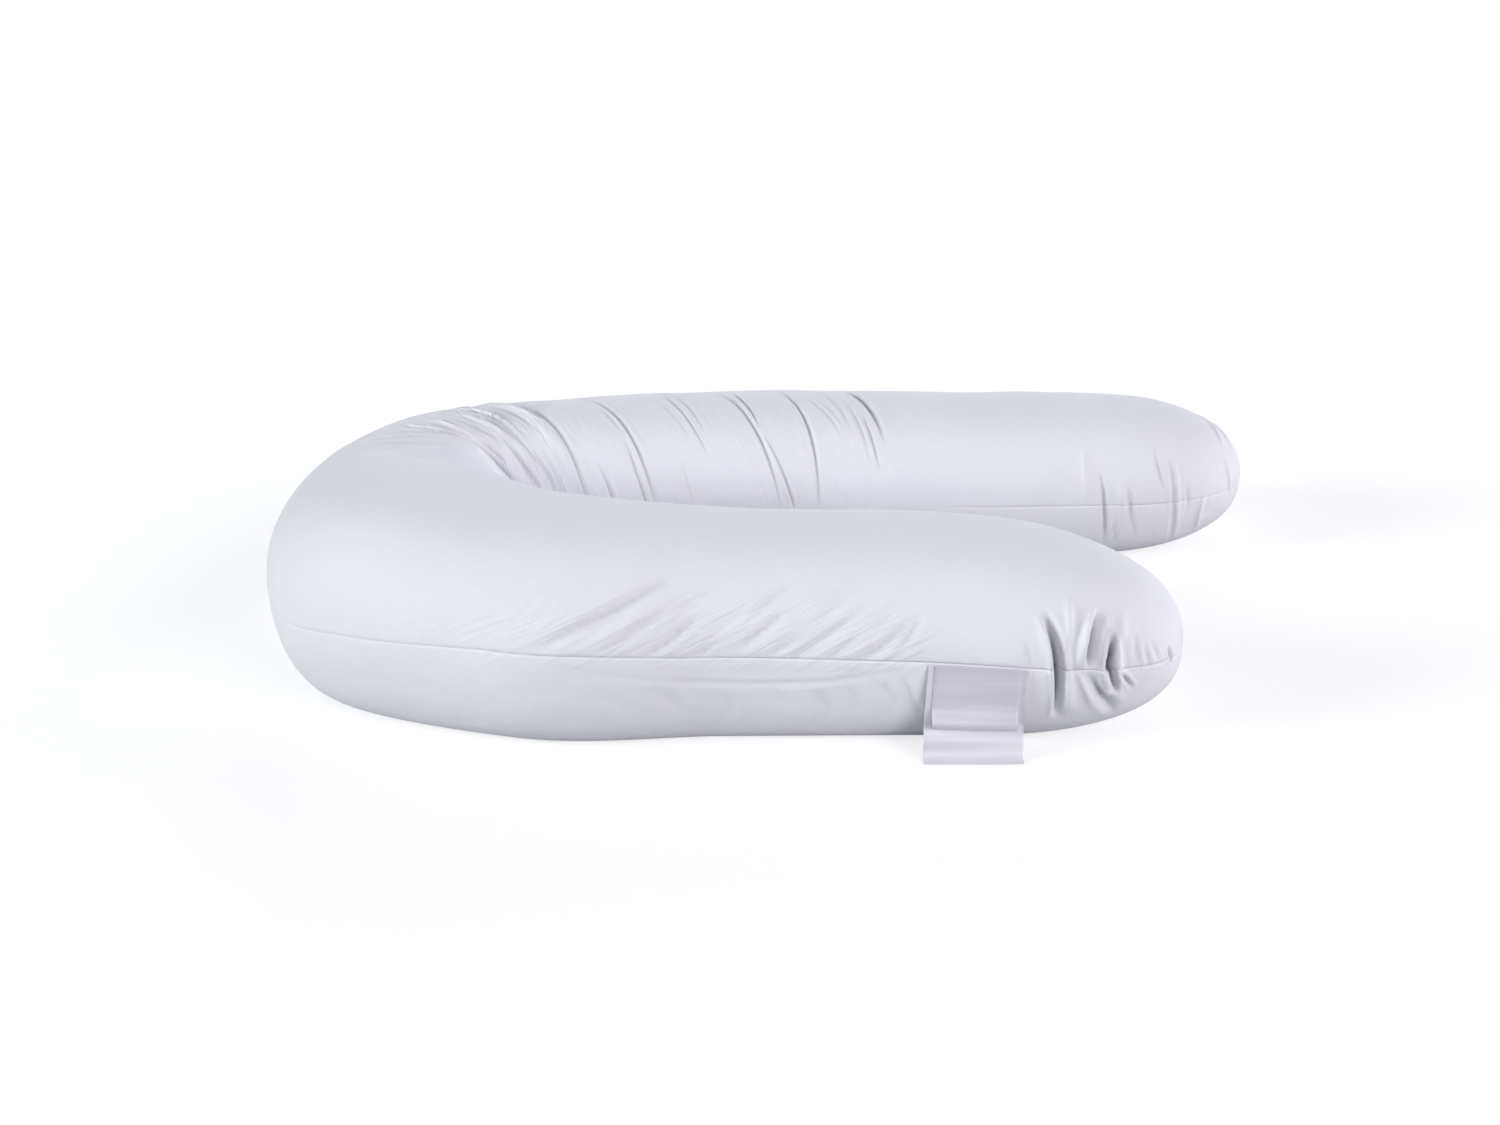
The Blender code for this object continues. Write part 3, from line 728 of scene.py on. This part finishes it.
# %% Grain of gathered cloth
BEND_GRAIN = [
    # station, strength
    [1.06, 0.0], [1.18, 0.5], [1.30, 1.0], [1.46, 1.0],
    [1.60, 0.45], [1.92, 0.45], [2.00, 0.3], [2.06, 0.0],
]
BEND_TURNS = [[0.55, 0], [0.90, 1], [2.10, 1], [2.40, 0]]
NEAR_GRAIN = [[0.00, 0.08], [0.02, 0.08], [0.16, 0.06], [0.23, 0.0]]
NEAR_BACK_GRAIN = [[0.02, 0.0], [0.05, 0.3], [0.16, 0.3], [0.24, 0.0]]
FAR_GRAIN = [[2.26, 0.0], [2.34, 0.2], [2.50, 0.3]]
TIP_GRAIN = [
    # stations, hoop position of the seam, how far round the arm it reaches
    [NEAR_GRAIN, OUTER_SEAM, 0.35],
    [FAR_GRAIN, INNER_SEAM, 0.45],
    [NEAR_BACK_GRAIN, INNER_SEAM, 0.35],
    [FAR_GRAIN, OUTER_SEAM, 0.35],
]
SLANT_GRAIN = [
    # stations, hoop positions: near arm, far arm
    [[[0.28, 0], [0.34, 1], [0.78, 1], [0.90, 0]], [[-0.12, 0], [0.00, 0.4], [0.25, 0.7], [0.60, 0]]],
    [[[1.34, 0], [1.46, 1], [2.00, 1], [2.20, 0]], [[-0.05, 0], [0.05, 0.4], [0.25, 0.5], [0.50, 0]]],
]
gather = between_stops(base, BEND_GRAIN) * between_stops(TURN, BEND_TURNS)
for stations, at, reach in TIP_GRAIN:
    gather += between_stops(base, stations) * np.exp(-((TURN - at) / reach)**2)
gather = np.clip(gather, 0, 1)
slant = np.zeros_like(S)
for stations, turns in SLANT_GRAIN:
    slant += between_stops(base, stations) * between_stops(TURN, turns)
print("gathered share of the case", round(float((gather > 0.2).mean()), 2))

# %% [markdown]
# From numbers to a mesh
#
# The net closes on itself round the arm, and a fan of triangles closes each tip. Each square of the
# net is cut into two triangles along its deeper diagonal, so that no triangle bridges a crease. The
# ring and the way round the arm, both in metres, are kept as a UV map, so that the weave can follow
# the cloth the way its threads do. A quarter of the way round is 0.19 m. The painted shade of the
# creases and seams, the gather and the slant are kept as attributes.

# %% Case mesh
QUARTER = 0.19
n, m = S.shape
i, j = np.meshgrid(np.arange(n - 1), np.arange(m), indexing="ij")
k = (j + 1) % m
a, b, c, d = i * m + j, i * m + k, (i + 1) * m + k, (i + 1) * m + j
low = deep.ravel()
straight = (low[a] + low[c] > low[b] + low[d])[..., None]
first = np.where(straight, np.stack([a, b, c], -1), np.stack([a, b, d], -1))
second = np.where(straight, np.stack([a, c, d], -1), np.stack([b, c, d], -1))
start = np.stack([np.full(m, n * m), k[0], j[0]], -1)
end = np.stack([np.full(m, n * m + 1), (n - 1) * m + j[0], (n - 1) * m + k[0]], -1)
faces = np.concatenate([first.reshape(-1, 3), second.reshape(-1, 3), start, end])
tips = plain_surface(np.array([0.0, TOTAL]), np.array([0.0, 0.0]))
points = np.concatenate([moved.reshape(-1, 3), tips])
case_mesh = bpy.data.meshes.new("cotton_case")
case_mesh.from_pydata(points.tolist(), [], faces.tolist())
along_uv = np.r_[base.ravel(), 0.0, TOTAL][faces]
round_uv = np.r_[V.ravel(), 0.0, 0.0][faces]
round_uv = np.where((round_uv == 0) & (round_uv.max(1, keepdims=True) > 2), 4.0, round_uv)
layer = case_mesh.uv_layers.new(name="cloth")
layer.data.foreach_set("uv", np.stack([along_uv, round_uv * QUARTER], -1).ravel())
# the first attribute is the shade painted into the creases and seams
for name, values in (("painted_fold_shade", painted_fold_shade), ("gather", gather), ("slant", slant)):
    kept = case_mesh.attributes.new(name, "FLOAT", "POINT")
    kept.data.foreach_set("value", np.r_[values.ravel(), 0.0, 0.0])
case_mesh.shade_smooth()
case = put_in_scene("cotton_case", case_mesh)
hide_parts("pillow")
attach(case, "root")
print("case has", len(case_mesh.polygons), "triangles")

# %% [markdown]
# The two labels
#
# Both labels are strips of woven satin ribbon, heat-cut, and held by the seam. The long one hangs
# to the table and turns outwards where it meets it. The short one is folded in half before sewing,
# so a soft loop shows at its lower end. A ribbon bends one way only, so its side view is drawn once
# as a path and carried across its width. Its two long edges curl forward by half a millimetre.

# %% Side views of the labels
LONG_PATH = [
    # share of the drop to the table, distance out from the seam
    [0.010, -0.0010], [0.040, 0.0000], [0.080, 0.0010], [0.200, 0.0014],
    [0.450, 0.0018], [0.620, 0.0022], [0.680, 0.0034], [0.735, 0.0072],
    [0.785, 0.0116], [0.825, 0.0138], [0.870, 0.0144], [0.920, 0.0142],
    [0.955, 0.0150], [0.980, 0.0182], [0.994, 0.0240], [1.000, 0.0295],
]
LOOP_PATH = [
    # front layer down, round the fold and up behind
    [0.010, 0.0018], [0.050, 0.0024], [0.120, 0.0028], [0.300, 0.0031],
    [0.440, 0.0036], [0.500, 0.0048], [0.555, 0.0084], [0.605, 0.0122],
    [0.645, 0.0134], [0.680, 0.0122], [0.698, 0.0092], [0.700, 0.0068],
    [0.688, 0.0052], [0.655, 0.0042], [0.600, 0.0034], [0.500, 0.0028],
    [0.300, 0.0025], [0.120, 0.0020], [0.050, 0.0014], [0.010, 0.0008],
]
LABEL_DROP = 0.115


def smooth_path(path, count):
    """The same path with more points, evenly spaced along it and rounded at its corners."""
    path = np.array(path)
    drop = path * np.array([LABEL_DROP, 1.0])
    away = np.r_[0, np.cumsum(np.linalg.norm(np.diff(drop, axis=0), axis=1))]
    even = np.linspace(0, away[-1], count)
    fine = np.stack([np.interp(even, away, path[:, k]) for k in range(2)], -1)
    for _ in range(4):
        fine[1:-1] = 0.25 * fine[:-2] + 0.5 * fine[1:-1] + 0.25 * fine[2:]
    return fine, even


print("paths of", len(LONG_PATH), "and", len(LOOP_PATH), "points")

# %% Ribbon strips
LABEL_LEAN = -0.0055
LABEL_LOW = 0.0012
EDGE_CURL = 0.0005
EDGE_WIDTH = 0.0018


def ribbon(name, left, right, thick, path, columns, rows):
    """A thin closed strip that hangs from the near seam between two stations."""
    line, even = smooth_path(path, rows)
    across = 0.5 - 0.5 * np.cos(np.pi * np.linspace(0, 1, columns))
    stations = left + (right - left) * across
    from_edge = np.minimum(across, 1 - across) * abs(right - left)
    curl = EDGE_CURL * np.exp(-(from_edge / EDGE_WIDTH)**2)
    sewn = plain_surface(stations, seam_hoop(stations))
    grid = []
    for c, (x, y, z) in enumerate(sewn):
        way = np.stack([line[:, 1], LABEL_LOW + (z - LABEL_LOW) * (1 - line[:, 0])], -1)
        heading = np.gradient(way, axis=0)
        heading /= np.linalg.norm(heading, axis=1)[:, None]
        side = np.stack([-heading[:, 1], heading[:, 0]], -1) * thick / 2
        around = np.concatenate([way + side, (way - side)[::-1]])
        share = np.concatenate([line[:, 0], line[::-1, 0]])
        column = np.stack([x + LABEL_LEAN * share, y - around[:, 0] - curl[c], around[:, 1]], -1)
        grid.append(column)
    grid = np.array(grid)
    m = grid.shape[1]
    faces = []
    for i in range(columns - 1):
        for j in range(m):
            k = (j + 1) % m
            faces.append((i * m + k, i * m + j, (i + 1) * m + j, (i + 1) * m + k))
    for start, flip in ((0, False), ((columns - 1) * m, True)):
        for j in range(rows - 1):
            face = (start + j, start + j + 1, start + m - 2 - j, start + m - 1 - j)
            faces.append(face[::-1] if flip else face)
    mesh = bpy.data.meshes.new(name)
    mesh.from_pydata([tuple(p) for p in grid.reshape(-1, 3)], [], faces)
    around_uv = np.concatenate([even, even[::-1]])
    layer = mesh.uv_layers.new(name="cloth")
    width = abs(right - left)
    for loop in mesh.loops:
        i, j = divmod(loop.vertex_index, m)
        layer.data[loop.index].uv = (across[i] * width, around_uv[j])
    mesh.shade_smooth()
    body = put_in_scene(name, mesh)
    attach(body, "root")
    print(name, "ribbon", round(width * 1000), "mm wide,", round(even[-1] * 1000), "mm of path")
    return body


# %% Labels in place
LONG_ENDS = (0.3175, 0.2000)
LOOP_ENDS = (0.3095, 0.2085)
long_label = ribbon("long_satin_label", *LONG_ENDS, 0.0006, LONG_PATH, columns=60, rows=90)
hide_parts("care_label")
loop_label = ribbon("satin_loop_label", *LOOP_ENDS, 0.0005, LOOP_PATH, columns=52, rows=130)
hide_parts("loop_label")
print("labels hang at", [round(x, 3) for x in long_label.data.vertices[0].co])

# %% [markdown]
# Helpers for materials
#
# Colours are picked as sRGB hex values, as from a colour chart, while shaders work with linear
# light, so one function turns one into the other. Another adds a node with its settings and links,
# and a third empties a node tree.

# %% Colour and node helpers


def linear(hex_colour):
    """A linear colour with alpha from an sRGB hex value."""
    parts = [int(hex_colour[i:i + 2], 16) / 255 for i in (1, 3, 5)]
    made = [c / 12.92 if c <= 0.04045 else ((c + 0.055) / 1.055)**2.4 for c in parts]
    return (*made, 1.0)


def add_node(tree, kind, settings, links):
    """One node. A settings key is a property or an input's name or number, a links key an input."""
    made = tree.nodes.new(kind)
    for key, value in settings.items():
        if isinstance(key, str) and hasattr(made, key):
            setattr(made, key, value)
        else:
            made.inputs[key].default_value = value
    for key, source in links.items():
        tree.links.new(source, made.inputs[key])
    return made


def empty_tree(owner):
    """The node tree of a material or world, with nothing in it yet."""
    owner.use_nodes = True
    owner.node_tree.nodes.clear()
    return owner.node_tree


print("paper white", [round(c, 2) for c in linear("#F4F4F4")])

# %% [markdown]
# Plain woven cotton: the weave
#
# The case is bleached cotton in plain weave, unglazed. The real yarns lie 0.3 mm apart, which is
# finer than a pixel here. The weave is drawn 1.6 mm apart and very shallow, so that it shows only as
# a slight tooth. Uneven yarns make faint streaks in both thread directions, drawn about 17 mm long
# and 1.4 mm wide, and washing leaves a faint crumple, 40 mm and 12 mm from one dent to the next.

# %% Cotton weave and crumple
# streaks and noise scales are counts per metre
YARN_STEP = 0.0016
STREAKS_LONG = 60.0
STREAKS_WIDE = 700.0
CRUMPLE = {"Scale": 26.0, "Detail": 3.0, "Roughness": 0.45}
FINE_CRUMPLE = {"Scale": 85.0, "Detail": 2.0}
cotton = bpy.data.materials.new("bleached_plain_weave_cotton")
tree = empty_tree(cotton)
place = add_node(tree, "ShaderNodeUVMap", {"uv_map": "cloth"}, {}).outputs["UV"]
where = add_node(tree, "ShaderNodeTexCoord", {}, {}).outputs["Object"]
parts = add_node(tree, "ShaderNodeSeparateXYZ", {}, {"Vector": place})
threads = []
for way in "XY":
    turns = {"operation": "MULTIPLY", 1: math.pi / YARN_STEP}
    at = add_node(tree, "ShaderNodeMath", turns, {0: parts.outputs[way]})
    thread = add_node(tree, "ShaderNodeMath", {"operation": "SINE"}, {0: at.outputs[0]})
    threads.append(thread.outputs[0])
weave = add_node(tree, "ShaderNodeMath", {"operation": "MULTIPLY"}, {0: threads[0], 1: threads[1]})
streaks = []
for scale in ((STREAKS_LONG, STREAKS_WIDE, 1.0), (STREAKS_WIDE, STREAKS_LONG, 1.0)):
    at = add_node(tree, "ShaderNodeMapping", {"Scale": scale}, {"Vector": place})
    noise = {"Scale": 1.0, "Detail": 1.0}
    streak = add_node(tree, "ShaderNodeTexNoise", noise, {"Vector": at.outputs[0]})
    streaks.append(streak.outputs[0])
slubs = add_node(tree, "ShaderNodeMath", {"operation": "ADD"}, {0: streaks[0], 1: streaks[1]})
crumple = add_node(tree, "ShaderNodeTexNoise", CRUMPLE, {"Vector": where})
fine_crumple = add_node(tree, "ShaderNodeTexNoise", FINE_CRUMPLE, {"Vector": where})
RELIEF = [
    # height, strength, metres deep
    [weave, 0.25, 0.00012],
    [slubs, 0.35, 0.00025],
    [crumple, 0.35, 0.004],
    [fine_crumple, 0.5, 0.0011],
]
normal = None
for height, strength, deepness in RELIEF:
    links = {"Height": height.outputs[0]}
    if normal:
        links["Normal"] = normal.outputs[0]
    normal = add_node(tree, "ShaderNodeBump", {"Strength": strength, "Distance": deepness}, links)
print("weave, streaks and crumple:", len(tree.nodes), "nodes")

# %% [markdown]
# Plain woven cotton: the grain of the gathers
#
# Noise that is stretched along one direction, with its slopes folded into valleys, looks like
# cloth in fine gathers. The ridges that run round the arm lie about 5.5 mm apart and are 110 mm
# long. The slanting ones lie 8.5 mm apart. Each kind shows only where its attribute says so.

# %% Cotton gathers
GATHERS = [
    # attribute, turned by, ridge size along the arm and round it, metres deep
    ["gather", 0.0, (0.0055, 0.11, 1.0), 0.0045],
    ["slant", -0.51, (0.10, 0.0085, 1.0), 0.0052],
]
for name, turned, size, rise in GATHERS:
    ways = {"vector_type": "TEXTURE", "Rotation": (0.0, 0.0, turned), "Scale": size}
    at = add_node(tree, "ShaderNodeMapping", ways, {"Vector": place})
    noise = {"Scale": 1.0, "Detail": 1.5}
    ridges = add_node(tree, "ShaderNodeTexNoise", noise, {"Vector": at.outputs[0]})
    centred = {"operation": "SUBTRACT", 1: 0.5}
    middle = add_node(tree, "ShaderNodeMath", centred, {0: ridges.outputs[0]})
    valleys = add_node(tree, "ShaderNodeMath", {"operation": "ABSOLUTE"}, {0: middle.outputs[0]})
    there = add_node(tree, "ShaderNodeAttribute", {"attribute_name": name}, {})
    links = {0: valleys.outputs[0], 1: there.outputs["Fac"]}
    height = add_node(tree, "ShaderNodeMath", {"operation": "MULTIPLY"}, links)
    links = {"Height": height.outputs[0], "Normal": normal.outputs[0]}
    normal = add_node(tree, "ShaderNodeBump", {"Strength": 1.0, "Distance": rise}, links)
print("with gathers:", len(tree.nodes), "nodes")

# %% [markdown]
# Plain woven cotton: colour and finish
#
# Bleached cotton is a cool white that varies a little from place to place, and dark grey shade is
# painted into the bottoms of the folds and at the seams. Short fibres stand off the yarn, so light is
# scattered: roughness is high and there is a little sheen at grazing angles. Cellulose has an IOR of
# about 1.53.

# %% Cotton finish
BLOTCHES = {"Scale": 5.0, "Detail": 2.0}
blotch = add_node(tree, "ShaderNodeTexNoise", BLOTCHES, {"Vector": where})
whites = {"data_type": "RGBA", "A": linear("#E9EAF0"), "B": linear("#EEEFF5")}
tone = add_node(tree, "ShaderNodeMix", whites, {"Factor": blotch.outputs[0]})
# painted shade: the white is mixed towards dark grey in the creases and along the seams
painted_shade_amount = add_node(tree, "ShaderNodeAttribute", {"attribute_name": "painted_fold_shade"}, {})
links = {"Factor": painted_shade_amount.outputs["Fac"], "A": tone.outputs["Result"]}
cloth_with_painted_shade = add_node(tree, "ShaderNodeMix", {"data_type": "RGBA", "B": linear("#4E4E56")}, links)
cloth = add_node(tree, "ShaderNodeBsdfPrincipled", {
    "Roughness": 0.88,
    "IOR": 1.53,
    "Specular IOR Level": 0.35,
    "Sheen Weight": 0.12,
    "Sheen Roughness": 0.5,
}, {"Base Color": cloth_with_painted_shade.outputs["Result"], "Normal": normal.outputs[0]})
add_node(tree, "ShaderNodeOutputMaterial", {}, {"Surface": cloth.outputs[0]})
case.data.materials.append(cotton)
print(cotton.name, "has", len(tree.nodes), "nodes")

# %% [markdown]
# Woven polyester satin
#
# The labels are satin ribbon: long smooth floats of shiny yarn on the face, so light stretches into
# soft bands across the ribbon where it bends. Polyester has an IOR of about 1.57. The floats make
# fine ribs across the width, about 0.25 mm apart, drawn here 1.3 mm apart and shallow, and the
# ribbon is slightly wavy, 18 mm from one wave to the next. The white has a slight violet cast, and
# soft lighter and darker bands that follow the waves are painted into it as sheen and shade.

# %% Satin material
# counts per metre across the ribbon and along it
RIBS = (40.0, 770.0, 1.0)
WAVES = (6.0, 55.0, 1.0)


def satin_material(name, light, shade):
    """Satin whose colour is painted in soft lighter and darker bands that follow its waves, as
    painted sheen and shade.
    """
    made = bpy.data.materials.new(name)
    tree = empty_tree(made)
    place = add_node(tree, "ShaderNodeUVMap", {"uv_map": "cloth"}, {}).outputs["UV"]
    normal = None
    for scale, detail, strength, deepness in ((RIBS, 2.0, 0.3, 0.0002), (WAVES, 1.0, 0.4, 0.002)):
        at = add_node(tree, "ShaderNodeMapping", {"Scale": scale}, {"Vector": place})
        noise = {"Scale": 1.0, "Detail": detail}
        relief = add_node(tree, "ShaderNodeTexNoise", noise, {"Vector": at.outputs[0]})
        links = {"Height": relief.outputs[0]}
        if normal:
            links["Normal"] = normal.outputs[0]
        normal = add_node(tree, "ShaderNodeBump", {"Strength": strength, "Distance": deepness}, links)
    # painted sheen and painted shade: the two tones are mixed by the height of the waves
    sheen_and_shade_tones = {"data_type": "RGBA", "A": linear(shade), "B": linear(light)}
    tone = add_node(tree, "ShaderNodeMix", sheen_and_shade_tones, {"Factor": relief.outputs[0]})
    shader = add_node(tree, "ShaderNodeBsdfPrincipled", {
        "Roughness": 0.27,
        "IOR": 1.57,
        "Specular IOR Level": 0.70,
        "Anisotropic": 0.35,
    }, {"Base Color": tone.outputs["Result"], "Normal": normal.outputs[0]})
    add_node(tree, "ShaderNodeOutputMaterial", {}, {"Surface": shader.outputs[0]})
    return made


white_satin = satin_material("woven_polyester_satin_white", "#F8F7FC", "#D0CDDB")
loop_satin = satin_material("woven_polyester_satin_loop", "#ECEAF3", "#BEBBCB")
long_label.data.materials.append(white_satin)
loop_label.data.materials.append(loop_satin)
print("satin materials", white_satin.name, loop_satin.name)

# %% [markdown]
# Studio floor
#
# The floor is plain, matt and pale. It gives back little light, as in a room, and is lifted to white
# only where the camera looks at it, as goods that are cut out on white are.

# %% Floor
FLOOR_LIFT = 0.70
FLOOR_GAP = 0.0005
floor_mesh = bpy.data.meshes.new("floor")
floor_mesh.from_pydata([(-30, -20, 0), (30, -20, 0), (30, 40, 0), (-30, 40, 0)], [], [(0, 1, 2, 3)])
floor = put_in_scene("floor", floor_mesh)
floor.location.z = -FLOOR_GAP
paper = bpy.data.materials.new("matt_white_sweep")
tree = empty_tree(paper)
ray = add_node(tree, "ShaderNodeLightPath", {}, {}).outputs["Is Camera Ray"]
matt = add_node(tree, "ShaderNodeBsdfDiffuse", {"Color": linear("#B0B1B4")}, {})
lift = add_node(tree, "ShaderNodeMath", {"operation": "MULTIPLY", 1: FLOOR_LIFT}, {0: ray})
white = {"Color": linear("#FEFEFF")}
glow = add_node(tree, "ShaderNodeEmission", white, {"Strength": lift.outputs[0]})
both = add_node(tree, "ShaderNodeAddShader", {}, {0: matt.outputs[0], 1: glow.outputs[0]})
add_node(tree, "ShaderNodeOutputMaterial", {}, {"Surface": both.outputs[0]})
floor_mesh.materials.append(paper)
floor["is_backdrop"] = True
print("floor", paper.name)

# %% [markdown]
# Five soft lamps
#
# Cloth shows its creases when light comes from the side. A strong low lamp on the left rakes over
# the bend and the puckers, and one on the right, in front, lights the inner side of the far arm. A
# weak one in front opens the shadows a little, and two more, at the right and behind, keep the
# crown and the tips clear. They are far away, so the floor is lit evenly. Little light comes from
# all round, so creases stay dark inside.

# %% Lamps
LAMPS = [
    # name, colour, comes from x, y, z, degrees wide, strength
    ["left_lamp", "#F8FCFB", -1.0, -0.20, 0.28, 24, 2.58],
    ["front_lamp", "#FCFBFF", -0.1, -1.0, 0.5, 30, 0.42],
    ["right_front_lamp", "#FFFCFF", 0.8, -0.8, 0.5, 40, 1.92],
    ["right_back_lamp", "#F8F9FF", 1.0, 0.3, 0.3, 40, 1.27],
    ["back_lamp", "#F0F5FF", 0.2, 1.0, 0.3, 40, 1.45],
]


def add_lamp(name, colour, x, y, z, wide, strength):
    """A lamp that is far away in the direction x, y, z."""
    data = bpy.data.lights.new(name, "SUN")
    data.color = linear(colour)[:3]
    data.angle = math.radians(wide)
    data.energy = strength
    lamp = put_in_scene(name, data)
    lamp.rotation_euler = (math.atan2(math.hypot(x, y), z), 0.0, math.atan2(x, -y))


for row in LAMPS:
    add_lamp(*row)
print(len(LAMPS), "lamps")

# %% Light from all round
AROUND = 0.02
BACKGROUND = 0.96
world = bpy.data.worlds.new("white_studio")
bpy.context.scene.world = world
tree = empty_tree(world)
ray = add_node(tree, "ShaderNodeLightPath", {}, {}).outputs["Is Camera Ray"]
levels = {"operation": "MULTIPLY_ADD", 1: BACKGROUND, 2: AROUND}
light = add_node(tree, "ShaderNodeMath", levels, {0: ray})
sky = add_node(tree, "ShaderNodeBackground", white, {"Strength": light.outputs[0]})
add_node(tree, "ShaderNodeOutputWorld", {}, {"Surface": sky.outputs[0]})
print("light from all round", AROUND)

# %% [markdown]
# Size and finish
#
# The last step prints the box that the dressed model fills.

# %% Size and finish
low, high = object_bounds()
print("dressed box", [round(x, 4) for x in low], [round(x, 4) for x in high])
